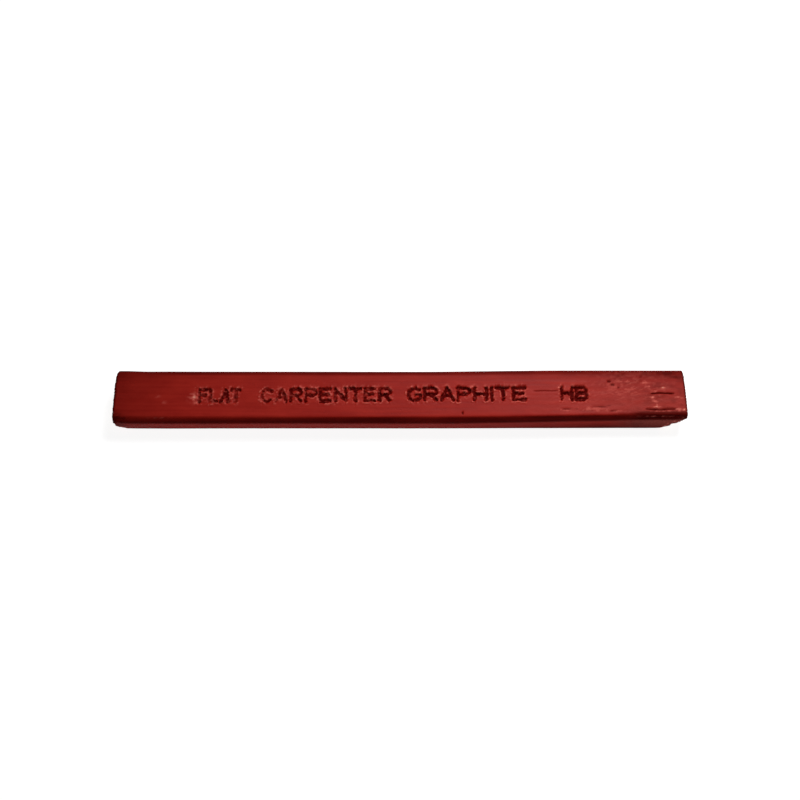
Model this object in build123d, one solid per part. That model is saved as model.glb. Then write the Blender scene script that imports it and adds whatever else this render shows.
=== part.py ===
"""A new, unsharpened flat carpenter pencil, lying on a wide face.

Two wooden slats with a shallow groove each are glued together round a flat graphite core, and the
stick is then primed and lacquered. Both ends are sawn square and left bare, so every layer can be
seen there. Millimetres. +X runs along the pencil, +Z is up, and the origin is under its middle, on
the surface that it lies on.
"""

import os

from build123d import *

# Driving dimensions
LENGTH = 175.0
WIDTH = 17.0
THICKNESS = 8.4
CHAMFER = 1.5  # each long edge is planed off at 45 degrees by this much
EDGE_RADIUS = 1.4  # and the two corners of each planed edge are rounded
CORE_WIDTH = 5.4
CORE_THICKNESS = 2.2
CORE_EDGE_RADIUS = 0.35
LACQUER = 0.15  # thickness of the red coat
PRIMER = 0.10  # thickness of the pale coat under it
GLUE = 0.10  # thickness of the glue between the slats and round the core

# Worked out from the above
MID_HEIGHT = THICKNESS / 2
WOOD_INSET = LACQUER + PRIMER
SLAT_SPAN = WIDTH - 2 * WOOD_INSET
GROOVE_WIDTH = CORE_WIDTH + 2 * GLUE
# Moving all sides of the octagon in by a distance shortens its planed edges by this share of it.
CHAMFER_SHARE = 2 - 2**0.5


def along_pencil(section: Sketch) -> Part:
    """A section drawn about the pencil's own axis, run out over its whole length."""
    lying = Plane(origin=(-LENGTH / 2, 0, MID_HEIGHT), x_dir=(0, 1, 0), z_dir=(1, 0, 0))
    return extrude(lying * section, amount=LENGTH)


def stick_section(inset: float = 0.0) -> Sketch:
    """The flattened octagon with soft corners, all of its sides moved in by inset."""
    sides = Rectangle(WIDTH - 2 * inset, THICKNESS - 2 * inset)
    planed = chamfer(sides.vertices(), CHAMFER - CHAMFER_SHARE * inset)
    return fillet(planed.vertices(), EDGE_RADIUS - inset)


def core_section(grown: float = 0.0) -> Sketch:
    """The flat core, or the outside of what is wrapped round it."""
    return RectangleRounded(
        CORE_WIDTH + 2 * grown, CORE_THICKNESS + 2 * grown, CORE_EDGE_RADIUS + grown
    )


def coat(outer_inset: float, thickness: float) -> Part:
    """One coat of paint: a closed skin over the stick's long sides, open at its sawn ends."""
    return along_pencil(stick_section(outer_inset) - stick_section(outer_inset + thickness))


def slat(side: int) -> Part:
    """The wooden half above (side 1) or below (side -1) the glue line, with its groove."""
    half_height = THICKNESS / 2
    kept = Pos(0, side * (GLUE / 2 + half_height / 2)) * Rectangle(WIDTH, half_height)
    return along_pencil(stick_section(WOOD_INSET) & kept - core_section(GLUE))


def glue_film(side: int) -> Part:
    """The glue between the slats, in front of the core (side -1) or behind it (side 1)."""
    land = (SLAT_SPAN - GROOVE_WIDTH) / 2
    strip = Pos(side * (GROOVE_WIDTH + land) / 2, 0) * Rectangle(land, GLUE)
    return along_pencil(strip)


def build() -> dict[str, Part]:
    """Every piece of the pencil, by its name."""
    return {
        "graphite_core": along_pencil(core_section()),
        "core_glue_sleeve": along_pencil(core_section(GLUE) - core_section()),
        "upper_slat": slat(1),
        "lower_slat": slat(-1),
        "front_glue_film": glue_film(-1),
        "rear_glue_film": glue_film(1),
        "primer_coat": coat(LACQUER, PRIMER),
        "red_lacquer_coat": coat(0.0, LACQUER),
    }


os.makedirs("parts", exist_ok=True)
for name, piece in build().items():
    export_step(piece, f"parts/{name}.step")
    print(f"{name}: {piece.volume:.1f} mm3")
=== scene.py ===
"""The looks of a flat carpenter pencil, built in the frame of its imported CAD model.

Every layer of the pencil is its own closed mesh: two wooden slats, the flat core, the glue round
the core and between the slats, the primer and the lacquer. One relief, worked out for the outside
of the lacquer, carries the pressed lettering, the scars and the worn edges, and the layers under it
follow it. Lengths are millimetres until a mesh is written, and heights are measured from the
pencil's mid-plane. The script's own frame is the CAD model's: +X along the pencil and +Z up.
"""

import math
from itertools import product

import bmesh
import bpy
import numpy as np
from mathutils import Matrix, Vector
from mathutils.geometry import delaunay_2d_cdt


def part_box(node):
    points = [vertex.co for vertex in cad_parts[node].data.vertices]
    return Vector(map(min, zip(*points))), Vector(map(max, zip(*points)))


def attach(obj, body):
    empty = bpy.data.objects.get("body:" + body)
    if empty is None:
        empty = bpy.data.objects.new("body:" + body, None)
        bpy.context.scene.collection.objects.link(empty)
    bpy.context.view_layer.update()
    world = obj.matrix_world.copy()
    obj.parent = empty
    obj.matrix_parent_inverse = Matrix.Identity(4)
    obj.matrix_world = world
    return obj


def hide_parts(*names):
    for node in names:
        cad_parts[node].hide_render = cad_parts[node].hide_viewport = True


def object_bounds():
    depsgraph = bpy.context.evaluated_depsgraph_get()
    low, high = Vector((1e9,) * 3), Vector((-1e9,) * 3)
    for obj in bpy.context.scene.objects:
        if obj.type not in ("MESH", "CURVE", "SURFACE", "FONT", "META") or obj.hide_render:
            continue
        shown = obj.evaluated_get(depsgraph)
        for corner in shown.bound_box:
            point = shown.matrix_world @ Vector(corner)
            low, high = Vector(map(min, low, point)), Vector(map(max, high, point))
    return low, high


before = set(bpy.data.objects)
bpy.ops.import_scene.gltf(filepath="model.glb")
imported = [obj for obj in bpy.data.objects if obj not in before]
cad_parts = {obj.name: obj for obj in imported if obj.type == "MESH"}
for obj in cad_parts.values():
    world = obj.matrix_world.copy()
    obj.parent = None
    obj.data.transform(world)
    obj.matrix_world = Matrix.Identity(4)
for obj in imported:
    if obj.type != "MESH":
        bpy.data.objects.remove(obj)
CAD_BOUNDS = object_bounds()

MM = 0.001
LENGTH, WIDTH, THICKNESS = ((CAD_BOUNDS[1] - CAD_BOUNDS[0]) / MM)[:]
HALF_LENGTH, HALF_WIDTH, HALF_THICKNESS = LENGTH / 2, WIDTH / 2, THICKNESS / 2
CORE_LOW, CORE_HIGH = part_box("graphite_core")
CORE_HALF_WIDTH = CORE_HIGH.y / MM
CORE_HALF_THICKNESS = (CORE_HIGH.z - CORE_LOW.z) / MM / 2

# The section, as the CAD model has it
CHAMFER = 1.5
EDGE_RADIUS = 1.4
CORE_EDGE_RADIUS = 0.35
LACQUER = 0.15
PRIMER = 0.10
GLUE = 0.10

TOP_SIDE = 2  # the side after this corner of the section's outline is the top face

# Spacing of the rings of points along the pencil
LETTER_STEP = 0.20
LEFT_STEP = 0.60
RIGHT_STEP = 0.36
ARRIS_STEP = 0.13
ARRIS_ZONE = 1.0  # length of the finely stepped stretch at each end
LETTER_MARGIN = 3  # how far the lettering's fine steps run on past it
STROKE_REACH = 3  # how far along from a stroke its distance is worked out, past its length
HIDDEN_STRIDE = 8  # how many times wider the spacing is under the lacquer
STRAIGHT_STRIDE = 10  # and how many times wider than that it is round the straight core

FLUSH = 0.02  # how far every layer is set back at its ends, so that end faces and rings meet
SLIVER = 0.002  # edges no longer than this are merged where a corner is broken off

# How far each coat has flaked back from the sawn ends, on its outside and on its inside
LACQUER_FLAKES = (0.24, 0.18)
PRIMER_FLAKES = (0.15, 0.10)

# The rough-faced block that breaks off a corner: half its width, its thickness, its steps
CUTTER_REACH = 14
CUTTER_DEPTH = 20
CUTTER_STEP = 0.30

# Pressed lettering: generic words, each with the stretch of the pencil that it fills
LETTERING = [
    ("FLAT", -62.0, -48.6),
    ("CARPENTER", -43.0, -2.6),
    ("GRAPHITE", 1.9, 38.9),
    ("HB", 48.9, 57.6),
]
LETTER_HEIGHT = 3.85
LETTER_BAND = 2.9  # half the width of the strip across the top face that has the fine steps
LETTER_GAP = 0.42  # between two letters, as a share of a full letter's width
NARROW_LETTER = 0.12  # the width of an I, as a share of a full letter's width
LETTER_RISE = 0.0075  # how steeply the line of words climbs towards the far edge
LETTER_SHIFT = 0.25  # how far it lies beyond the middle of the top face
LETTER_DEPTH = 0.36
LETTER_DEEPER = 0.24  # how much deeper it is at its right end
FULL_SHADE_DEPTH = 0.38  # lettering this deep has its floor fully darkened with painted shade
STROKE_HALF_WIDTH = 0.53
RIM_HEIGHT = 0.12


# ---------------------------------------------------------------------------------------------
# Noise
# ---------------------------------------------------------------------------------------------


def scattered(i, j, k, seed):
    """A fixed number from -1 to 1 for every whole-numbered place."""
    mixed = i.astype(np.uint64) * 73856093 ^ j.astype(np.uint64) * 19349663
    mixed = (mixed ^ k.astype(np.uint64) * 83492791) + np.uint64(seed * 2654435761)
    mixed = (mixed ^ (mixed >> np.uint64(29))) * np.uint64(0x9E3779B97F4A7C15)
    mixed = (mixed ^ (mixed >> np.uint64(32))) * np.uint64(0xD6E8FEB86659FD93)
    return (mixed >> np.uint64(40)).astype(float) / 2**23 - 1


def noise(x, y, z, cell, seed):
    """Smooth noise from -1 to 1 that changes over a cell of this size in X, Y and Z."""
    steps = np.broadcast_arrays(*[np.asarray(v, float) / c for v, c in zip((x, y, z), cell)])
    whole = [np.floor(step).astype(np.int64) for step in steps]
    eased = [f * f * (3 - 2 * f) for f in (step - low for step, low in zip(steps, whole))]
    total = 0.0
    for corner in product((0, 1), repeat=3):
        weight = 1.0
        for share, side in zip(eased, corner):
            weight = weight * (share if side else 1 - share)
        total = total + weight * scattered(*[low + side for low, side in zip(whole, corner)], seed)
    return total


def layered_noise(x, y, z, cell, seed, layers=3):
    """Noise with finer noise on it, each layer half the size and half the height of the last."""
    total = 0.0
    for layer in range(layers):
        finer = [c / 2**layer for c in cell]
        total = total + noise(x, y, z, finer, seed + layer) / 2**layer
    return total


def smooth_step(low, high, value):
    """0 below low, 1 above high, and an eased way between them."""
    share = np.clip((value - low) / (high - low), 0, 1)
    return share * share * (3 - 2 * share)


# ---------------------------------------------------------------------------------------------
# Lettering
# ---------------------------------------------------------------------------------------------


def bow(x, y, across, up, start, stop):
    """Points along an ellipse's arc about (x, y), from one angle to another, in degrees."""
    angles = np.radians(np.linspace(start, stop, 9))
    return [(x + across * math.cos(a), y + up * math.sin(a)) for a in angles]


P_BOWL = [(0, 0), (0, 1), *bow(0.6, 0.74, 0.4, 0.26, 90, -90), (0, 0.48)]
GLYPHS = {
    "A": [[(0, 0), (0.5, 1), (1, 0)], [(0.2, 0.34), (0.8, 0.34)]],
    "B": [
        [(0, 0), (0, 1), (0.55, 1), *bow(0.6, 0.76, 0.34, 0.24, 90, -90), (0, 0.52)],
        [(0.6, 0.52), *bow(0.62, 0.26, 0.38, 0.26, 90, -90), (0, 0)],
    ],
    "C": [bow(0.55, 0.5, 0.55, 0.5, 48, 312)],
    "E": [[(0.95, 1), (0, 1), (0, 0), (0.95, 0)], [(0, 0.52), (0.75, 0.52)]],
    "F": [[(0.95, 1), (0, 1), (0, 0)], [(0, 0.52), (0.75, 0.52)]],
    "G": [[*bow(0.55, 0.5, 0.55, 0.5, 48, 330), (1, 0.45), (0.62, 0.45)]],
    "H": [[(0, 0), (0, 1)], [(1, 0), (1, 1)], [(0, 0.5), (1, 0.5)]],
    "I": [[(0.5, 0), (0.5, 1)]],
    "L": [[(0, 1), (0, 0), (0.9, 0)]],
    "N": [[(0, 0), (0, 1), (1, 0), (1, 1)]],
    "P": [P_BOWL],
    "R": [P_BOWL, [(0.5, 0.48), (1, 0)]],
    "T": [[(0.5, 0), (0.5, 1)], [(0, 1), (1, 1)]],
}


def letter_widths(word):
    """How wide each letter is, as a share of a full letter."""
    return [NARROW_LETTER if letter == "I" else 1.0 for letter in word]


def lettering_segments():
    """Every straight piece of every letter's strokes, as (x0, y0, x1, y1) on the top face."""
    segments = []
    for word, start, stop in LETTERING:
        widths = letter_widths(word)
        gap = LETTER_GAP * sum(widths) / len(word)
        room = stop - start - 2 * STROKE_HALF_WIDTH
        full = room / (sum(widths) + gap * (len(word) - 1))
        left = start + STROKE_HALF_WIDTH
        for letter, width in zip(word, widths):
            for stroke in GLYPHS[letter]:
                placed = [(left + u * width * full, (v - 0.5) * LETTER_HEIGHT) for u, v in stroke]
                segments += [(*a, *b) for a, b in zip(placed, placed[1:])]
            left += (width + gap) * full
    return segments


def distance_to_lettering(x, y):
    """How far each point of the top face is from the middle of the nearest stroke."""
    nearest = np.full(x.shape, 1e3)
    for x0, y0, x1, y1 in lettering_segments():
        near = np.abs(x - (x0 + x1) / 2) < STROKE_REACH + abs(x1 - x0)
        px, py = x[near] - x0, y[near] - y0
        dx, dy = x1 - x0, y1 - y0
        along = np.clip((px * dx + py * dy) / (dx * dx + dy * dy), 0, 1)
        nearest[near] = np.minimum(nearest[near], np.hypot(px - along * dx, py - along * dy))
    return nearest


# ---------------------------------------------------------------------------------------------
# Relief of the lacquer
# ---------------------------------------------------------------------------------------------

ARRIS = 0.40  # how far in from the sawn ends the edges are rubbed round
NEAR_LEAN = 1.0  # how far the near side's upper half leans in at the right end
FAR_LEAN = 0.52  # how far the far side's upper half leans in along the left half
SHARPER = 0.6  # how much further the far upper edge stands out than the other planed edges
SEAT = 0.045  # how far the underside is let in, so that it lies on its high spots
COARSE = 0.042  # height of the coarse grain on the top face's right third
TEAR = 0.45  # how far the lacquer is torn pale beside a broken corner

# Waves and streaks of the drawn and dipped coat: height, and cell in X, Y and Z
WAVES = [
    (0.05, (34, 7, 7)),
    (0.022, (12, 2.6, 2.6)),
    (0.010, (22, 0.8, 0.8)),
    (0.007, (1.4, 1.2, 1.2)),
]

# Broken lower near corners: which end, and how far in along the pencil, across it and up
CHIPS = [(1, 8.9, 5.2, 9.3), (-1, 5.0, 2.3, 4.0)]

# Scars: middle along the pencil, middle across it, length, width, depth
SCARS = [
    (44.6, 1.4, 8.6, 0.20, 0.16),  # fine split between the last two words
    (19.0, -5.7, 0.7, 0.5, 0.26),  # pit
    (64.2, 4.5, 1.1, 0.45, 0.22),  # nicks in a row
    (65.2, 3.5, 1.5, 0.35, 0.24),
    (66.9, 2.5, 1.0, 0.30, 0.14),
    (74.0, 6.1, 0.9, 0.30, 0.12),
    (80.2, 0.7, 8.0, 0.30, 0.34),  # two splits along the grain at the end
    (79.3, -4.65, 10.0, 0.34, 0.42),
    (51.5, -4.3, 6.0, 0.20, 0.12),  # scratches under the last word
    (56.5, -5.1, 5.0, 0.20, 0.12),
    (61.5, -3.6, 6.5, 0.22, 0.12),
    (64.8, -5.2, 2.2, 0.26, 0.16),
    (80.0, -7.3, 12.0, 0.16, 0.12),  # scratches along the near edge
    (76.0, -7.9, 9.0, 0.14, 0.12),
    (-73.0, -7.4, 5.0, 0.16, 0.10),
]

# Scuffed patches: middle along and across, half length, half width, strength
SCUFFS = [
    (50.0, -4.9, 3.5, 0.9, 0.6),
    (58.5, -4.6, 5.5, 1.1, 0.7),
    (56.0, 0.0, 11.0, 3.6, 0.28),
    (71.0, 2.0, 12.0, 5.0, 0.40),
    (69.0, 4.6, 3.0, 0.5, 0.7),
    (74.8, 4.1, 1.4, 0.5, 1.0),
    (75.4, 2.3, 1.6, 0.5, 0.9),
    (76.4, 2.9, 0.8, 0.6, 1.05),
    (80.6, 2.6, 0.9, 0.6, 1.1),
    (78.4, 1.45, 1.0, 0.35, 1.0),
    (76.6, 0.6, 0.6, 0.5, 1.0),
    (77.2, -0.6, 1.0, 0.5, 1.05),
    (79.2, -0.9, 0.6, 0.9, 1.05),
    (77.9, -1.8, 1.1, 0.6, 0.95),
    (78.2, -3.0, 0.5, 1.3, 0.95),
    (78.0, -3.7, 1.8, 0.4, 1.05),
    (79.0, -5.2, 5.0, 0.25, 0.9),
    (85.2, -0.6, 1.5, 0.4, 1.05),
    (84.8, -4.5, 0.9, 0.35, 2.4),
    (86.4, -4.8, 0.7, 0.5, 2.0),
    (85.5, -5.3, 1.6, 0.3, 1.0),
    (66.0, -5.4, 6.0, 0.3, 0.7),
    (78.0, -7.5, 5.0, 0.14, 0.9),
    (-62.9, -0.5, 1.5, 1.5, 1.0),
    (-62.0, -2.4, 1.0, 0.5, 0.9),
    (-74.0, -0.5, 0.6, 0.5, 0.4),
    (-71.9, -2.4, 0.6, 0.5, 0.4),
    (-73.0, -7.2, 3.0, 0.16, 0.6),
]


def scars(x, y):
    """The depth of the scars, wandering a little to each side as splits and scratches do."""
    depth = np.zeros(x.shape)
    for seed, (along, across, length, width, deep) in enumerate(SCARS):
        wander = 0.20 * noise(x, 0, 0, (2.2, 1, 1), 40 + seed) * min(1, length / 4)
        inside = 1 - smooth_step(0.35, 0.5, np.abs(x - along) / length)
        depth += deep * inside * np.exp(-(((y - across - wander) / width) ** 2) * 2)
    return depth


def scuffing(x, y):
    """How scuffed the surface is at each point, from 0 to 1."""
    amount = np.zeros(x.shape)
    for along, across, half_length, half_width, strength in SCUFFS:
        reach = ((x - along) / half_length) ** 2 + ((y - across) / half_width) ** 2
        amount = np.maximum(amount, strength * np.exp(-reach))
    flecks = layered_noise(x, y, 0, (1.0, 0.5, 1), 70)
    film = 0.15 * smooth_step(20, 75, x) * smooth_step(8, -5, y) * smooth_step(-6.4, -5.2, y)
    return np.clip(amount * smooth_step(-0.1, 0.9, flecks + 0.5 * amount), film, 1)


def beside_chips(x, y, z):
    """From 0 to 1, how near each point is to where a broken corner begins."""
    nearness = np.zeros(x.shape)
    for end, along, deep, tall in CHIPS:
        steepness = math.sqrt(along**-2 + deep**-2 + tall**-2)
        share = (HALF_LENGTH - end * x) / along
        share = share + (y + HALF_WIDTH) / deep + (z + HALF_THICKNESS) / tall
        nearness = np.maximum(nearness, np.exp(-(((share - 1) / steepness / TEAR) ** 2)))
    return nearness


def edge_shade(x, y, z, up, out):
    """How much painted shade darkens the planed edges, and the sides towards them."""
    tall = HALF_THICKNESS - CHAMFER
    to_right = smooth_step(20, 70, x)
    to_left = smooth_step(-10, -50, x)
    # painted shade on the planed edges, strongest on the far upper one
    planed = smooth_step(0.10, 0.6, np.minimum(np.abs(up), out))
    far_upper = 1.2 * smooth_step(0.3, 0.65, np.minimum(up, out))
    planed = np.where((y > 0) & (up > 0), far_upper, planed)
    planed = planed * (1 - 0.6 * to_left * smooth_step(tall + 0.3, HALF_THICKNESS - 0.1, z) * (y < 0))
    # painted shade down the sides from their upper edges, and a painted shadow along their foot
    side = smooth_step(0.6, 0.95, out)
    upper = 0.9 * smooth_step(tall - 1.6 - 0.4 * to_left, tall + 0.2, z)
    lower = (0.75 + 0.15 * to_right) * smooth_step(1.9 + 2.4 * to_right - tall, -tall - 0.1, z)
    return np.maximum.reduce([planed, side * upper, side * (0.14 + lower)])


def top_face_shade(x, y, z, up):
    """How much painted shade darkens the top face along its long edges, at its near corners and towards
    its left end, and how much darker it is in blotches towards its right end.
    """
    flat = HALF_WIDTH - CHAMFER
    # painted shade along the far and near strips of the top face, and at its near corners
    far_strip = smooth_step(flat - 2.6, flat, y)
    far_strip = far_strip * (0.14 + 0.34 * smooth_step(10, 70, x) + 0.16 * smooth_step(-68, -84, x))
    far_strip = far_strip + 0.08 * smooth_step(-4, HALF_WIDTH, y)
    reach = 0.9 + 1.9 * smooth_step(62, 76, x)
    near_strip = smooth_step(reach - flat, -flat, y) * (0.12 + 1.6 * smooth_step(60, 82, x))
    crumbs = 0.75 + 0.5 * layered_noise(x, y, z, (0.7, 0.4, 0.5), 29)
    from_left = np.hypot(x + HALF_LENGTH, (y + HALF_WIDTH) * 1.2)
    from_right = np.hypot((HALF_LENGTH - x) * 0.6, (y + HALF_WIDTH) * 1.1)
    corner = smooth_step(5.6, 1.6, from_left) + 1.6 * smooth_step(4.2, 2.4, from_right)
    corner = corner * crumbs * smooth_step(-0.3, 0.3, up)
    blotches = smooth_step(-0.3, 1.1, layered_noise(x, y, z, (2.6, 1.0, 1.0), 26))
    # painted shade towards the left end, where the light falls off; darker in blotches towards the right
    # end
    ends = 0.38 * smooth_step(-HALF_LENGTH + 26, -HALF_LENGTH, x)
    ends = ends + 0.16 * smooth_step(-HALF_LENGTH + 7, -HALF_LENGTH + 0.5, x)
    ends = ends + (0.18 + 0.44 * blotches) * smooth_step(48, 82, x) * smooth_step(0.3, 0.8, up)
    return np.maximum.reduce([far_strip, near_strip, corner]) + ends


def painted_shade(x, y, z, up, out):
    """How dark the surface is with painted shade, from 0 to 1: mostly along the edges, and at the rims
    of the sawn ends.
    """
    patchy = 0.85 + 0.15 * layered_noise(x, y, z, (9, 1.2, 1.2), 24)
    shaded = np.maximum(edge_shade(x, y, z, up, out), top_face_shade(x, y, z, up)) * patchy
    # painted shade round the rims of the sawn ends, reaching further in at the left
    shade_reach = 0.95 + 0.45 * smooth_step(-10, -50, x)
    arris = 1 - smooth_step(0.40, shade_reach, HALF_LENGTH - np.abs(x))
    return np.clip(np.maximum(shaded, arris), 0, 1)


def pressed_lettering(x, y):
    """The stamped line on the top face: its relief, its floor darkened with painted shade, and the pale
    flecks painted along its rims.
    """

    def rough(across_x, across_y, seed):
        """Noise on the top face."""
        return noise(x, y, 0, (across_x, across_y, 1), seed)

    to_right = smooth_step(-50, 20, x)
    shaken_x = x + (0.13 * rough(0.8, 0.8, 11) + 0.08 * rough(2, 2, 15))
    shaken_y = y - LETTER_RISE * x - LETTER_SHIFT + (0.13 * rough(0.8, 0.8, 12) + 0.08 * rough(2, 2, 16))
    away = distance_to_lettering(shaken_x, shaken_y)
    away = away - 0.18 * rough(1.3, 1.3, 18) - 0.15 * rough(0.5, 0.5, 19)
    deep = LETTER_DEPTH + LETTER_DEEPER * to_right
    uneven = 1 + 0.30 * rough(2.4, 2.4, 13) + 0.2 * rough(0.6, 0.6, 17)
    pressed = 1 - smooth_step(STROKE_HALF_WIDTH - 0.18, STROKE_HALF_WIDTH + 0.14, away)
    floored = 1 - smooth_step(STROKE_HALF_WIDTH - 0.22, STROKE_HALF_WIDTH + 0.04, away)
    # painted shade on the floor of the strokes, darker where they are pressed deeper
    floor_shade = floored * deep / FULL_SHADE_DEPTH * (1 - 0.55 * smooth_step(0.0, 0.7, rough(0.5, 0.45, 28)))
    rim = np.exp(-(((away - STROKE_HALF_WIDTH - 0.32) / 0.24) ** 2))
    crumbs = np.clip(0.4 + 1.1 * rough(0.6, 0.5, 14), -0.2, 2)
    around = np.exp(-((away / 1.5) ** 2)) * rough(0.55, 0.5, 27)
    height = RIM_HEIGHT * rim * crumbs + 0.045 * around - deep * uneven * pressed
    # pale flecks painted along the rims of the strokes, and mottled round them
    pale_flecks = rim * smooth_step(0.5, 1.1, crumbs) * (0.8 + 0.15 * to_right)
    pale_flecks = np.maximum(pale_flecks, 0.5 * smooth_step(0.1, 0.7, around))
    return height, np.clip(floor_shade * uneven, 0, 1), pale_flecks


def rubbed_pale(x, y, z, up, near):
    """How pale the lacquer is beside the breaks, on the near side's right end and underneath."""
    rubbed = 0.36 * smooth_step(60, 80, x) * smooth_step(0.8, 0.98, near) * smooth_step(-3.4, 0.6, z)
    flakes = smooth_step(0.0, 0.5, layered_noise(x, y, z, (0.7, 0.5, 0.5), 33))
    torn = 1.2 * beside_chips(x, y, z) * flakes
    streaks = smooth_step(-0.2, 0.9, layered_noise(x, y, z, (18, 2.6, 2.6), 45))
    underneath = 0.30 * smooth_step(0.9, 1.0, -up) * streaks
    return np.maximum.reduce([rubbed, torn, underneath])


def rounded_ends(x, near):
    """How far the edges of the sawn ends are rubbed down, less so on the far side."""
    inwards = np.clip(HALF_LENGTH - np.abs(x), 0, ARRIS)
    share = 0.8 - 0.6 * smooth_step(0.1, 0.6, -near)
    return share * (ARRIS - np.sqrt(ARRIS**2 - (ARRIS - inwards) ** 2))


def crumbled_corners(x, y, z, near):
    """How far the near side has crumbled away at its two ends."""
    corner = smooth_step(6, 0.5, x + HALF_LENGTH) * smooth_step(0.3, 0.7, near)
    corner = corner + 0.6 * smooth_step(12, 2, HALF_LENGTH - x) * smooth_step(0.3, 0.7, near)
    return corner * (0.16 + 0.16 * layered_noise(x, y, z, (1.1, 0.8, 0.8), 31))


def relief(x, points, normals):
    """Heights of the lacquer over its plain section, how pressed and scuffed it is, and where shade is
    painted on it.

    x is a column of places along the pencil. points and normals go once round the section.
    """
    y, z = points[:, 0][None, :], points[:, 1][None, :]
    up, near = normals[:, 1][None, :], -normals[:, 0][None, :]
    x, y, z, up, near = np.broadcast_arrays(x[:, None], y, z, up, near)
    top = smooth_step(0.75, 0.97, up)
    seen = smooth_step(0.1, 0.5, up)
    letters, floor_shade, pale_flecks = pressed_lettering(x, y)
    scarred = scars(x, y) * seen
    patches = scuffing(x, y)
    ragged = 0.5 + 0.5 * layered_noise(x, y, 0, (0.8, 0.35, 1), 21)
    coarse = layered_noise(x, y, z, (1.9, 1.0, 1.0), 6)
    far_upper = np.clip(math.sqrt(2) * np.minimum(up, -near), 0, 1)

    height = sum(size * noise(x, y, z, cell, seed) for seed, (size, cell) in enumerate(WAVES, 1))
    height = height + COARSE * top * smooth_step(25, 75, x) * coarse
    height = height + top * letters
    height = height - scarred - 0.06 * patches * seen * ragged
    height = height - SEAT * smooth_step(0.0, -0.9, up)
    height = height + SHARPER * far_upper**2.5
    height = height - rounded_ends(x, near) - crumbled_corners(x, y, z, near)

    painted = {
        # groove: painted shade in the letters and scars
        "groove": top * floor_shade + np.clip(6 * scarred, 0, 1),
        # scuff: scuffs, pale tears and rubbing, and the pale flecks at the letters' rims
        "scuff": np.maximum.reduce([patches * seen, top * pale_flecks, rubbed_pale(x, y, z, up, near)]),
        # edge: painted shade along the edges, on the top face's strips and corners and at the ends
        "edge": painted_shade(x, y, z, up, np.abs(near)),
        "side": smooth_step(0.95, 0.75, np.abs(up)),
    }
    return height, painted


# ---------------------------------------------------------------------------------------------
# Sections and ends
# ---------------------------------------------------------------------------------------------


def spaced(start, stop, step):
    """Evenly spaced places from start up to, but not at, stop, no further apart than step."""
    count = max(1, math.ceil(abs(stop - start) / step - 1e-6))
    return list(start + (stop - start) * np.arange(count) / count)


def outline():
    """The pencil's section once round: points (y, z) and outward normals.

    It starts at the lower end of the near side, and goes up that side, over the top, down the far
    side and back underneath. Each corner is an arc, and each side is cut into steps of its own.
    """
    flat, tall = HALF_WIDTH - CHAMFER, HALF_THICKNESS - CHAMFER
    corners = [
        (-HALF_WIDTH, -tall), (-HALF_WIDTH, tall), (-flat, HALF_THICKNESS), (flat, HALF_THICKNESS),
        (HALF_WIDTH, tall), (HALF_WIDTH, -tall), (flat, -HALF_THICKNESS), (-flat, -HALF_THICKNESS),
    ]
    steps = [0.55, 0.4, 0.42, 0.4, 0.9, 0.5, 1.6, 0.5]  # on the side after each corner
    turn = math.radians(45)
    tangent = EDGE_RADIUS * math.tan(turn / 2)
    points, normals = [], []
    for index, corner in enumerate(corners):
        heading = math.radians(90) - turn * (index - 1)  # of the side that arrives at this corner
        arrive = Vector((math.cos(heading), math.sin(heading)))
        outward = Vector((-arrive.y, arrive.x))
        centre = Vector(corner) - arrive * tangent - outward * EDGE_RADIUS
        arc_steps = 4 if index in (1, 2) else 3
        for step in range(arc_steps + 1):
            angle = math.atan2(outward.y, outward.x) - turn * step / arc_steps
            normal = Vector((math.cos(angle), math.sin(angle)))
            points.append(centre + EDGE_RADIUS * normal)
            normals.append(normal)
        start = points[-1]
        ahead = Vector((normal.y, -normal.x))
        following = Vector(corners[(index + 1) % len(corners)])
        run = (following - Vector(corner)).length - 2 * tangent
        band = LETTER_BAND if index == TOP_SIDE else 0
        places = spaced(0, run / 2 - band, steps[index])
        places += spaced(run / 2 - band, run / 2, LETTER_STEP) if band else []
        places += spaced(run / 2, run / 2 + band, LETTER_STEP) if band else []
        places += spaced(run / 2 + band, run, steps[index])
        for along in places[1:]:
            points.append(start + ahead * along)
            normals.append(normal)
    return np.array(points), np.array(normals)


def rounded_rectangle(half_width, half_height, radius, corner_steps=4):
    """Points (y, z) once round a rounded rectangle."""
    points = []
    for index, (side_y, side_z) in enumerate([(1, 1), (-1, 1), (-1, -1), (1, -1)]):
        for step in range(corner_steps + 1):
            angle = math.radians(90 * (index + step / corner_steps))
            points.append((
                side_y * (half_width - radius) + radius * math.cos(angle),
                side_z * (half_height - radius) + radius * math.sin(angle),
            ))
    return np.array(points[::-1])


def stations():
    """Places of the rings along the pencil, closer together where there is more to show."""
    inner_end = HALF_LENGTH - ARRIS_ZONE
    letters_start, letters_stop = LETTERING[0][1] - LETTER_MARGIN, LETTERING[-1][2] + LETTER_MARGIN
    places = spaced(-HALF_LENGTH, -inner_end, ARRIS_STEP)
    places += spaced(-inner_end, letters_start, LEFT_STEP)
    places += spaced(letters_start, letters_stop, LETTER_STEP)
    places += spaced(letters_stop, inner_end, RIGHT_STEP)
    places += spaced(inner_end, HALF_LENGTH, ARRIS_STEP) + [HALF_LENGTH]
    return np.array(places)


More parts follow.
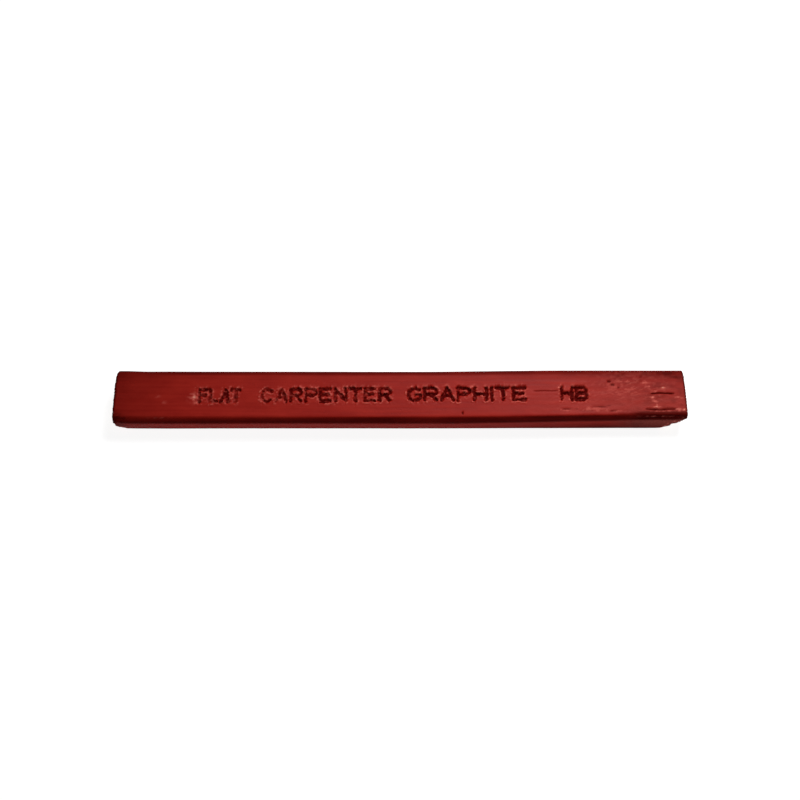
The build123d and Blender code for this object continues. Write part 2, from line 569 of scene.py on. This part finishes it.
def sawn_back(y, z, end):
    """How far a sawn end is set in: its bow, its worn far corner, its saw marks, its fibres."""
    bowed = 0.5 * ((y + 2.5) / 11) ** 4 if end < 0 else 0.25 * ((y + 4.5) / 12) ** 2
    bowed = bowed + 0.40 * smooth_step(5.6, 8.0, y)
    slant = math.radians(24 * end)
    across = y * math.cos(slant) + z * math.sin(slant)
    marks = 0.035 * np.sin(across * 7.5 + 1.5 * noise(y, z, 0, (3, 3, 1), 60 + end))
    fibres = 0.05 * layered_noise(y, z, 0, (0.5, 0.5, 1), 62 + end)
    return np.maximum(0, bowed + 0.06 + marks + fibres)


def flaked_back(y, z, end, reach):
    """How far a coat has flaked back from the sawn end."""
    return reach * smooth_step(-0.2, 0.8, layered_noise(y, z, 0, (1.3, 1.3, 1), 66 + end)) + FLUSH


def lean_in(x, y, z):
    """How far the sides' upper halves lean in: the near one at the right, the far one at the left."""
    near = NEAR_LEAN * smooth_step(10, 75, x) * smooth_step(-CORE_HALF_WIDTH - 1, -HALF_WIDTH, y)
    far = FAR_LEAN * (0.2 + 0.8 * smooth_step(50, 5, x)) * (1 - 0.4 * smooth_step(-78, -86, x))
    far = far * smooth_step(CORE_HALF_WIDTH + 1, HALF_WIDTH, y)
    return (near - far) * smooth_step(-HALF_THICKNESS, HALF_THICKNESS - CHAMFER, z)


def place_rings(x, y, z, flake):
    """Whole rings of points, with their ends brought in to the sawn and flaked ends."""
    y = y + lean_in(x[:, None], y, z)
    left = -HALF_LENGTH + sawn_back(y, z, -1) + flaked_back(y, z, -1, flake)
    right = HALF_LENGTH - sawn_back(y, z, 1) - flaked_back(y, z, 1, flake)
    share = (x[:, None] + HALF_LENGTH) / LENGTH
    return np.stack([left + share * (right - left), y + 0 * left, z + 0 * left], axis=-1)


# ---------------------------------------------------------------------------------------------
# Meshes
# ---------------------------------------------------------------------------------------------


def quads(rows, columns, first=0, flipped=False):
    """Faces of a tube of rings: rows of them, with this many points each."""
    row, column = np.meshgrid(np.arange(rows - 1), np.arange(columns), indexing="ij")
    after = (column + 1) % columns
    corners = [row * columns + column, (row + 1) * columns + column,
               (row + 1) * columns + after, row * columns + after]
    faces = np.stack(corners, axis=-1).reshape(-1, 4) + first
    return faces[:, ::-1] if flipped else faces


def make_object(name, points, faces, rims, attributes):
    """A smooth-shaded mesh object from points in mm above the mid-plane, sharp along its rims."""
    mesh = bpy.data.meshes.new(name)
    placed = points.reshape(-1, 3) * MM + np.array([0, 0, HALF_THICKNESS * MM])
    mesh.from_pydata(placed.tolist(), [], [list(face) for face in faces])
    mesh.update()
    mesh.shade_smooth()
    for label, values in attributes.items():
        attribute = mesh.attributes.new(label, "FLOAT", "POINT")
        padded = np.zeros(len(placed), np.float32)
        padded[: values.size] = values.reshape(-1)
        attribute.data.foreach_set("value", padded)
    on_rim = np.zeros(len(placed), bool)
    on_rim[rims] = True
    ends = np.zeros(len(mesh.edges) * 2, np.int32)
    mesh.edges.foreach_get("vertices", ends)
    sharp = mesh.attributes.new("sharp_edge", "BOOLEAN", "EDGE")
    sharp.data.foreach_set("value", on_rim[ends.reshape(-1, 2)].all(axis=1))
    piece = bpy.data.objects.new(name, mesh)
    bpy.context.scene.collection.objects.link(piece)
    return piece


def sleeve(name, outer, inner, attributes=None):
    """A closed skin between two stacks of rings that go round with the same number of points."""
    columns = outer.shape[1]
    first = outer.shape[0] * columns
    walls = [quads(outer.shape[0], columns), quads(inner.shape[0], columns, first, True)]
    last_outer, last_inner = first - columns, first + (inner.shape[0] - 1) * columns
    here = np.arange(columns)
    after = (here + 1) % columns
    left_cap = np.stack([here, after, first + after, first + here], axis=-1)
    right_cap = np.stack([last_outer + here, last_inner + here,
                          last_inner + after, last_outer + after], axis=-1)
    points = np.concatenate([outer.reshape(-1, 3), inner.reshape(-1, 3)])
    rims = np.concatenate([here, first + here, last_outer + here, last_inner + here])
    faces = np.concatenate([*walls, left_cap, right_cap])
    return make_object(name, points, faces, rims, attributes or {})


def inside(loop, points, margin):
    """Which points lie within a closed loop, at least margin away from it."""
    after = np.roll(loop, -1, axis=0)
    crossings = np.zeros(len(points), int)
    clear = np.full(len(points), True)
    for (y0, z0), (y1, z1) in zip(loop, after):
        spans = (z0 > points[:, 1]) != (z1 > points[:, 1])
        slope = (y1 - y0) / (z1 - z0 if z1 != z0 else 1)
        crossings += spans & (points[:, 0] < y0 + (points[:, 1] - z0) * slope)
        step = np.array([y1 - y0, z1 - z0])
        along = np.clip((points - (y0, z0)) @ step / max(step @ step, 1e-12), 0, 1)
        clear &= np.hypot(*(points - (y0, z0) - along[:, None] * step).T) > margin
    return clear & (crossings % 2 == 1)


def end_face(loop, spacing):
    """Triangles that fill a loop, with points strewn inside it: (extra points, triangles)."""
    low, high = loop.min(axis=0), loop.max(axis=0)
    grid = np.stack(np.meshgrid(*[np.arange(a, b, spacing) for a, b in zip(low, high)]), axis=-1)
    strewn = grid.reshape(-1, 2)
    shift = [noise(strewn[:, 0], strewn[:, 1], 0, (spacing, spacing, 1), 80 + k) for k in (0, 1)]
    strewn = strewn + 0.3 * spacing * np.stack(shift, axis=-1)
    extra = strewn[inside(loop, strewn, 0.45 * spacing)]
    count = len(loop)
    edges = [(k, (k + 1) % count) for k in range(count)]
    given = [Vector(p) for p in np.concatenate([loop, extra]).tolist()]
    found = delaunay_2d_cdt(given, edges, [], 1, 1e-7)
    original = [sources[0] for sources in found[3]]
    return extra, np.array([[original[k] for k in face] for face in found[2]])


def bar(name, rings, spacing):
    """A solid with these rings round it, and sawn faces at its two ends."""
    rows, columns = rings.shape[:2]
    points, faces = [rings.reshape(-1, 3)], [list(face) for face in quads(rows, columns)]
    total = rows * columns
    for end, first in ((-1, 0), (1, (rows - 1) * columns)):
        loop = rings[0 if end < 0 else -1][:, 1:]
        extra, triangles = end_face(loop, spacing)
        x = end * (HALF_LENGTH - sawn_back(extra[:, 0], extra[:, 1], end) - FLUSH)
        points.append(np.column_stack([x, extra]))
        numbered = np.where(triangles < columns, triangles + first, triangles - columns + total)
        faces += orient(numbered, np.concatenate(points), end)
        total += len(extra)
    rims = np.concatenate([np.arange(columns), (rows - 1) * columns + np.arange(columns)])
    return make_object(name, np.concatenate(points), faces, rims, {})


def orient(triangles, points, end):
    """The same triangles, all wound so that they face out of that end."""
    a, b, c = (points[triangles[:, k]][:, 1:] for k in range(3))
    turn = (b[:, 0] - a[:, 0]) * (c[:, 1] - a[:, 1]) - (b[:, 1] - a[:, 1]) * (c[:, 0] - a[:, 0])
    turned = np.where((turn * end < 0)[:, None], triangles[:, ::-1], triangles)
    return [list(face) for face in turned]


def every(stride, count):
    """Every stride-th number below count, and the last one."""
    return sorted({*range(0, count, stride), count - 1})


def lowest_near(height, kept, stride):
    """The lowest height near each of the kept rings, over the rings up to a stride away."""
    across = np.minimum.reduce([np.roll(height, k, axis=1) for k in (-1, 0, 1)])
    return np.array([across[max(0, k - stride): k + stride + 1].min(axis=0) for k in kept])


def offset(points, normals, height):
    """The section's points moved out by a height for every ring: y and z of each."""
    return points[:, 0] + height * normals[:, 0], points[:, 1] + height * normals[:, 1]


# ---------------------------------------------------------------------------------------------
# Materials
# ---------------------------------------------------------------------------------------------


class Finish:
    """A material under construction, with its Principled shader."""

    def __init__(self, name, **values):
        self.material = bpy.data.materials.new(name)
        self.material.use_nodes = True
        self.tree = self.material.node_tree
        self.shader = self.tree.nodes["Principled BSDF"]
        for socket, value in values.items():
            self.shader.inputs[socket.replace("_", " ")].default_value = value
        self.place = self.add("TexCoord").outputs["Object"]

    def add(self, kind, inputs=None, **settings):
        """A node with these settings, and with its inputs linked or set."""
        made = self.tree.nodes.new("ShaderNode" + kind)
        for label, value in settings.items():
            setattr(made, label, value)
        for socket, value in (inputs or {}).items():
            if isinstance(value, bpy.types.NodeSocket):
                self.tree.links.new(value, made.inputs[socket])
            else:
                made.inputs[socket].default_value = value
        return made

    def grain(self, scale, detail=3.0, roughness=0.55):
        """Noise with this many features to a metre in X, Y and Z."""
        mapped = self.add("Mapping", {"Vector": self.place, "Scale": scale})
        made = self.add("TexNoise", {
            "Vector": mapped.outputs[0], "Scale": 1.0, "Detail": detail, "Roughness": roughness})
        return made.outputs["Fac"]

    def ramp(self, factor, low, high, start=0.3, stop=0.7):
        """A blend from one colour or number to another as a factor rises."""
        if isinstance(low, tuple):
            made = self.add("ValToRGB", {"Fac": factor})
            made.color_ramp.elements[0].position = start
            made.color_ramp.elements[0].color = (*low, 1)
            made.color_ramp.elements[1].position = stop
            made.color_ramp.elements[1].color = (*high, 1)
            return made.outputs["Color"]
        made = self.add("MapRange", {
            "Value": factor, "From Min": start, "From Max": stop, "To Min": low, "To Max": high})
        return made.outputs["Result"]

    def mix(self, factor, first, second):
        """One colour turning into another."""
        made = self.add("Mix", {0: factor, 6: first, 7: second}, data_type="RGBA")
        return made.outputs[2]

    def times(self, first, second):
        """The product of two numbers."""
        return self.add("Math", {0: first, 1: second}, operation="MULTIPLY").outputs[0]

    def plus(self, first, second):
        """The sum of two numbers, kept from 0 to 1."""
        made = self.add("Math", {0: first, 1: second}, operation="ADD", use_clamp=True)
        return made.outputs[0]

    def painted(self, label):
        """A number that the mesh carries at each of its points."""
        return self.add("Attribute", attribute_name=label).outputs["Fac"]

    def drive(self, label, socket):
        """Links one of the shader's own inputs."""
        self.tree.links.new(socket, self.shader.inputs[label])

    def colour(self, socket):
        """Links the surface's colour."""
        self.drive("Base Color", socket)

    def roughness(self, socket):
        """Links the surface's roughness."""
        self.drive("Roughness", socket)

    def bumps(self, *layers):
        """Bump from pairs of a height and the distance in metres that it stands for."""
        normal = None
        for height, distance in layers:
            inputs = {"Height": height, "Distance": distance, "Strength": 1.0}
            if normal is not None:
                inputs["Normal"] = normal
            normal = self.add("Bump", inputs).outputs["Normal"]
        self.drive("Normal", normal)


def red_lacquer():
    """Dark red satin lacquer, drawn on lengthwise, with painted shade in its hollows and along its
    edges, and dusty where scuffed.
    """
    finish = Finish("red_lacquer")
    streaks = finish.grain((30, 1300, 1300))
    clouds = finish.grain((120, 300, 300), 4.0)
    specks = finish.grain((2600, 4200, 4200), 2.0)
    edge, side, scuff, groove = (finish.painted(k) for k in ("edge", "side", "scuff", "groove"))
    body = finish.mix(
        finish.ramp(finish.plus(finish.times(streaks, 0.4), finish.times(clouds, 0.6)), 0.0, 1.0),
        (0.245, 0.0082, 0.0052, 1), (0.345, 0.0165, 0.0095, 1))
    # painted shade along the edges and round the ends, nearly black-red
    edge_shaded = finish.mix(finish.times(edge, 0.80), body, (0.030, 0.0006, 0.0006, 1))
    dusty = finish.times(scuff, finish.ramp(specks, 0.5, 1.0, 0.35, 0.65))
    chalky = finish.mix(finish.ramp(scuff, 0.0, 1.0, 0.88, 1.0), (0.63, 0.130, 0.100, 1),
                        (0.80, 0.34, 0.25, 1))
    # painted shade in the letters and scars, almost black-red
    groove_shade = finish.times(groove, 0.97)
    finish.colour(finish.mix(groove_shade, finish.mix(dusty, edge_shaded, chalky), (0.056, 0.0, 0.0, 1)))
    finish.roughness(finish.plus(finish.ramp(streaks, 0.42, 0.52), finish.times(scuff, 0.25)))
    dull = finish.plus(finish.plus(side, groove), edge)
    finish.drive("Specular IOR Level", finish.ramp(dull, 0.065, 0.010, 0.0, 1.0))
    finish.bumps((streaks, 0.00003), (clouds, 0.00006), (specks, 0.000012))
    return finish.material


def pale_primer():
    """A matt pinkish filler coat."""
    finish = Finish("pale_primer", Specular_IOR_Level=0.3)
    chalk = finish.grain((900, 900, 900), 4.0)
    finish.colour(finish.ramp(chalk, (0.52, 0.37, 0.28), (0.70, 0.56, 0.45)))
    finish.roughness(finish.ramp(chalk, 0.7, 0.85))
    finish.bumps((chalk, 0.00003))
    return finish.material


def bare_wood(name, pith):
    """Pale straight-grained wood whose growth rings run round a pith at (y, z), in metres."""
    finish = Finish(name, Specular_IOR_Level=0.3)
    centred = finish.add("Mapping", {"Vector": finish.place, "Location": (0, -pith[0], -pith[1])})
    stretched = finish.add("Mapping", {"Vector": centred.outputs[0], "Scale": (0.02, 1, 1)})
    rings = finish.add("TexWave", {
        "Vector": stretched.outputs[0], "Scale": 170.0, "Distortion": 2.2, "Detail": 3.0,
        "Detail Scale": 0.6}, wave_type="RINGS", rings_direction="X", wave_profile="SAW")
    fibres = finish.grain((40, 3600, 3600), 3.0)
    pores = finish.grain((120, 9000, 9000), 2.0)
    early = finish.mix(fibres, (0.56, 0.37, 0.21, 1), (0.70, 0.50, 0.31, 1))
    ringed = finish.mix(finish.ramp(rings.outputs["Fac"], 0.0, 0.8, 0.45, 1.0), early,
                        (0.40, 0.22, 0.105, 1))
    finish.colour(finish.mix(finish.ramp(pores, 0.0, 0.65, 0.60, 0.72), ringed,
                             (0.17, 0.09, 0.045, 1)))
    finish.roughness(finish.ramp(fibres, 0.6, 0.8))
    finish.bumps((fibres, 0.00008), (pores, 0.00005))
    return finish.material


def sawn_graphite():
    """Fired graphite and clay: grey, with a faint sheen and fine scratches."""
    finish = Finish("sawn_graphite", Metallic=0.35, Specular_IOR_Level=0.5)
    scratches = finish.grain((900, 500, 6000), 3.0)
    clay = finish.grain((2500, 2500, 2500), 3.0)
    finish.colour(finish.mix(clay, (0.035, 0.036, 0.040, 1), (0.085, 0.087, 0.095, 1)))
    finish.roughness(finish.ramp(scratches, 0.32, 0.55))
    finish.bumps((scratches, 0.00003), (clay, 0.00002))
    return finish.material


def dried_glue():
    """Yellowish brown wood glue."""
    finish = Finish("dried_glue", Specular_IOR_Level=0.45)
    mottle = finish.grain((1500, 1500, 1500), 3.0)
    finish.colour(finish.ramp(mottle, (0.24, 0.145, 0.06), (0.42, 0.29, 0.14)))
    finish.roughness(finish.ramp(mottle, 0.4, 0.6))
    finish.bumps((mottle, 0.00003))
    return finish.material


def studio_floor():
    """A white sheet that is lit a little from below, as a light table is."""
    finish = Finish("studio_floor", Specular_IOR_Level=0.0, Emission_Color=(1, 1, 1, 1),
                    Emission_Strength=FLOOR_GLOW, Roughness=1.0)
    paper = finish.grain((300, 300, 300), 4.0)
    finish.colour(finish.ramp(paper, (0.30, 0.30, 0.30), (0.34, 0.34, 0.34)))
    finish.bumps((paper, 0.00002))
    return finish.material


# ---------------------------------------------------------------------------------------------
# The pencil
# ---------------------------------------------------------------------------------------------


def chip_cutter(end, along, deep, tall):
    """A rough-faced block over the broken lower near corner of one end, reaching this far in."""
    near, bottom = -HALF_WIDTH, -HALF_THICKNESS
    heel = np.array([end * (HALF_LENGTH - along), near, bottom])
    peak = np.array([end * HALF_LENGTH, near, bottom + tall])
    back = np.array([end * HALF_LENGTH, near + deep, bottom])
    out = np.cross(back - heel, peak - heel)
    out = out * np.sign(out[0] * end) / np.linalg.norm(out)
    grain = np.array([1.0, 0, 0]) - out[0] * out
    grain = grain / np.linalg.norm(grain)
    cross = np.cross(out, grain)
    span = np.arange(-CUTTER_REACH, CUTTER_REACH + 0.01, CUTTER_STEP)
    p, q = np.meshgrid(span, span, indexing="ij")
    middle = (heel + peak + back) / 3
    flat = middle + p[..., None] * grain + q[..., None] * cross
    torn = 0.30 * layered_noise(p, q, 0, (1.2, 0.9, 1), 90)
    torn = torn + 0.15 * noise(p, q, 0, (4, 3, 1), 95) - 0.2
    rough = flat + torn[..., None] * out
    lid = flat + CUTTER_DEPTH * out
    rows = len(span)
    index = np.arange(rows * rows).reshape(rows, rows)
    a, b, c, d = index[:-1, :-1], index[1:, :-1], index[1:, 1:], index[:-1, 1:]
    sheet = np.stack([a, b, c, d], axis=-1).reshape(-1, 4)
    loop = np.concatenate([index[0, :-1], index[:-1, -1], index[-1, :0:-1], index[:0:-1, 0]])
    after = np.roll(loop, -1)
    wall = np.stack([loop, loop + rows * rows, after + rows * rows, after], axis=-1)
    faces = np.concatenate([sheet[:, ::-1], sheet + rows * rows, wall])
    points = np.concatenate([rough.reshape(-1, 3), lid.reshape(-1, 3)])
    return make_object("chip_cutter", points, faces, loop, {})


def break_off(pieces, cutter):
    """Cuts the broken corner out of every piece that it reaches, and merges any slivers."""
    for piece in pieces:
        cut = piece.modifiers.new("chip", "BOOLEAN")
        cut.object, cut.operation, cut.solver = cutter, "DIFFERENCE", "MANIFOLD"
        shaped = piece.evaluated_get(bpy.context.evaluated_depsgraph_get())
        mesh = bpy.data.meshes.new_from_object(shaped)
        tidied = bmesh.new()
        tidied.from_mesh(mesh)
        bmesh.ops.dissolve_degenerate(tidied, dist=SLIVER * MM, edges=tidied.edges)
        tidied.to_mesh(mesh)
        tidied.free()
        piece.modifiers.clear()
        piece.data = mesh
    bpy.data.objects.remove(cutter)


def slat_rings(x, y, z, near_middle, far_middle, side):
    """Rings of the slat above (side 1) or below (side -1) the glue line."""
    count = y.shape[1]
    if side > 0:
        picked = np.arange(near_middle, far_middle + 1)
    else:
        picked = np.arange(far_middle, near_middle + count + 1) % count
    outer_y, outer_z = y[:, picked], z[:, picked].copy()
    outer_z[:, [0, -1]] = side * GLUE / 2
    groove = rounded_rectangle(CORE_HALF_WIDTH + GLUE, CORE_HALF_THICKNESS + GLUE,
                               CORE_EDGE_RADIUS + GLUE)
    half = groove[groove[:, 1] * side > 0]
    half = half[np.argsort(-half[:, 0] * side, kind="stable")]
    shoulder = half[[0, -1]] * (1, 0) + (0, side * GLUE / 2)
    path = np.concatenate([shoulder[:1], half, shoulder[1:]])
    lands = [spaced(outer_y[:, -1].mean(), path[0, 0], 0.5)[1:],
             spaced(path[-1, 0], outer_y[:, 0].mean(), 0.5)[1:]]
    first, last = ([(v, side * GLUE / 2) for v in land] for land in lands)
    inner = np.array([*first, *path.tolist(), *last])
    repeated = np.repeat(inner[None], len(x), axis=0)
    return (np.concatenate([outer_y, repeated[..., 0]], axis=1),
            np.concatenate([outer_z, repeated[..., 1]], axis=1))


def build_pencil():
    """Every layer of the pencil, as (piece, CAD node, slot, material)."""
    points, normals = outline()
    x = stations()
    height, painted = relief(x, points, normals)
    # The hidden layers have fewer rings. They follow the lowest relief near each one, so that none
    # comes through the lacquer, which is thicker than its nominal value beside a dip.
    kept = every(HIDDEN_STRIDE, len(x))
    low = lowest_near(height, kept, HIDDEN_STRIDE)
    hidden_x = x[kept]
    sparse_x = hidden_x[every(STRAIGHT_STRIDE, len(hidden_x))]

    def rings(places, level, flake):
        """Rings at these places along the pencil, moved out to a level."""
        return place_rings(places, *offset(points, normals, level), flake)

    lacquer = sleeve("lacquer_shell", rings(x, height, LACQUER_FLAKES[0]),
                     rings(hidden_x, low - LACQUER, LACQUER_FLAKES[1]), painted)
    primer = sleeve("primer_shell", rings(hidden_x, low - LACQUER, PRIMER_FLAKES[0]),
                    rings(hidden_x, low - LACQUER - PRIMER, PRIMER_FLAKES[1]))

    y, z = offset(points, normals, low - LACQUER - PRIMER)
    on_side = np.abs(points[:, 1]) < 1e-6
    near_middle, far_middle = np.flatnonzero(on_side)[[0, -1]]
    slats = []
    for name, side in (("upper_slat_wood", 1), ("lower_slat_wood", -1)):
        slat_y, slat_z = slat_rings(hidden_x, y, z, near_middle, far_middle, side)
        slats.append(bar(name, place_rings(hidden_x, slat_y, slat_z, 0.0), spacing=0.4))

    core_loop = rounded_rectangle(CORE_HALF_WIDTH, CORE_HALF_THICKNESS, CORE_EDGE_RADIUS)
    glue_loop = rounded_rectangle(CORE_HALF_WIDTH + GLUE, CORE_HALF_THICKNESS + GLUE,
                                  CORE_EDGE_RADIUS + GLUE)

    def straight(loop):
        """The same loop at every sparse place."""
        repeated = np.repeat(loop[None], len(sparse_x), axis=0)
        return place_rings(sparse_x, repeated[..., 0], repeated[..., 1], 0.0)

    lead = bar("graphite_lead", straight(core_loop), spacing=0.25)
    sleeve_glue = sleeve("glue_sleeve", straight(glue_loop), straight(core_loop))
    films = []
    for name, middle in (("front_glue_line", near_middle), ("rear_glue_line", far_middle)):
        rim = y[:, middle]
        inner = np.sign(rim[0]) * (CORE_HALF_WIDTH + GLUE)
        film_y = np.stack([rim, rim, inner + 0 * rim, inner + 0 * rim], axis=1)
        film_z = np.repeat(np.array([[-1, 1, 1, -1]]) * GLUE / 2, len(rim), axis=0)
        if rim[0] > 0:
            film_y, film_z = film_y[:, ::-1], film_z[:, ::-1]
        films.append(bar(name, place_rings(hidden_x, film_y, film_z, 0.0), spacing=0.5))

    break_off([lacquer, primer, *slats, films[0]], chip_cutter(*CHIPS[0]))
    break_off([lacquer, primer, slats[1]], chip_cutter(*CHIPS[1]))
    glue = dried_glue()
    return [
        (lacquer, "red_lacquer_coat", "red_lacquer", red_lacquer()),
        (primer, "primer_coat", "primer", pale_primer()),
        (slats[0], "upper_slat", "wood", bare_wood("upper_wood", (0.011, 0.028))),
        (slats[1], "lower_slat", "wood", bare_wood("lower_wood", (-0.006, -0.022))),
        (lead, "graphite_core", "graphite", sawn_graphite()),
        (sleeve_glue, "core_glue_sleeve", "glue", glue),
        (films[0], "front_glue_film", "glue", glue),
        (films[1], "rear_glue_film", "glue", glue),
    ]


# ---------------------------------------------------------------------------------------------
# Floor, light and camera
# ---------------------------------------------------------------------------------------------

CAMERA_DISTANCE = 346
CAMERA_ELEVATION = 70.25  # degrees over the near side
LENS = 50.45
FLOOR_REACH = 6000
FLOOR_GLOW = 0.92  # the light that the floor gives off itself
BACKDROP = 0.924  # as bright as the floor looks at its far end
KEY_PLACE = (85, 150, 240)
KEY_SIZE = (160, 110)
KEY_POWER = 1.03  # watts


def add_floor():
    """A wide pale floor under the pencil, part of the studio and not of the object."""
    mesh = bpy.data.meshes.new("floor")
    reach, level = FLOOR_REACH * MM, CAD_BOUNDS[0].z
    corners = [(-reach, -reach), (reach, -reach), (reach, reach), (-reach, reach)]
    mesh.from_pydata([(x, y, level) for x, y in corners], [], [(0, 1, 2, 3)])
    mesh.materials.append(studio_floor())
    floor = bpy.data.objects.new("floor", mesh)
    bpy.context.scene.collection.objects.link(floor)


def add_key_light():
    """One soft rectangular lamp, high behind the far side, facing the frame's origin."""
    lamp = bpy.data.lights.new("key", "AREA")
    lamp.shape = "RECTANGLE"
    lamp.size, lamp.size_y = KEY_SIZE[0] * MM, KEY_SIZE[1] * MM
    lamp.energy = KEY_POWER
    holder = bpy.data.objects.new("key", lamp)
    holder.location = Vector(KEY_PLACE) * MM
    holder.rotation_euler = (-Vector(KEY_PLACE)).to_track_quat("-Z", "Y").to_euler()
    bpy.context.scene.collection.objects.link(holder)


def add_world():
    """A pale backdrop for the camera, and a dim, nearly black room for light and reflections."""
    world = bpy.data.worlds.new("studio")
    world.use_nodes = True
    bpy.context.scene.world = world
    tree = world.node_tree
    shown, room = tree.nodes["Background"], tree.nodes.new("ShaderNodeBackground")
    shown.inputs["Color"].default_value = (BACKDROP, BACKDROP, BACKDROP, 1)
    room.inputs["Color"].default_value = (0.012, 0.012, 0.012, 1)
    path, blend = tree.nodes.new("ShaderNodeLightPath"), tree.nodes.new("ShaderNodeMixShader")
    tree.links.new(path.outputs["Is Camera Ray"], blend.inputs[0])
    tree.links.new(room.outputs[0], blend.inputs[1])
    tree.links.new(shown.outputs[0], blend.inputs[2])
    tree.links.new(blend.outputs[0], tree.nodes["World Output"].inputs["Surface"])


def add_camera():
    """A camera close over the near side, so that the far edge looks a little shorter."""
    lens = bpy.data.cameras.new("camera")
    lens.lens = LENS
    lens.sensor_width = 36
    lens.clip_start = 0.01
    camera = bpy.data.objects.new("camera", lens)
    tilt = math.radians(CAMERA_ELEVATION)
    away = Vector((0, -math.cos(tilt), math.sin(tilt)))
    target = Vector((0, 0, HALF_THICKNESS * MM))
    camera.location = target + away * CAMERA_DISTANCE * MM
    camera.rotation_euler = (-away).to_track_quat("-Z", "Y").to_euler()
    bpy.context.scene.collection.objects.link(camera)
    bpy.context.scene.camera = camera


for piece, node, slot, material in build_pencil():
    piece.data.materials.clear()
    piece.data.materials.append(material)
    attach(piece, "root")
    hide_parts(node)

add_floor()
add_key_light()
add_world()
add_camera()
bpy.context.scene.view_settings.view_transform = "Standard"
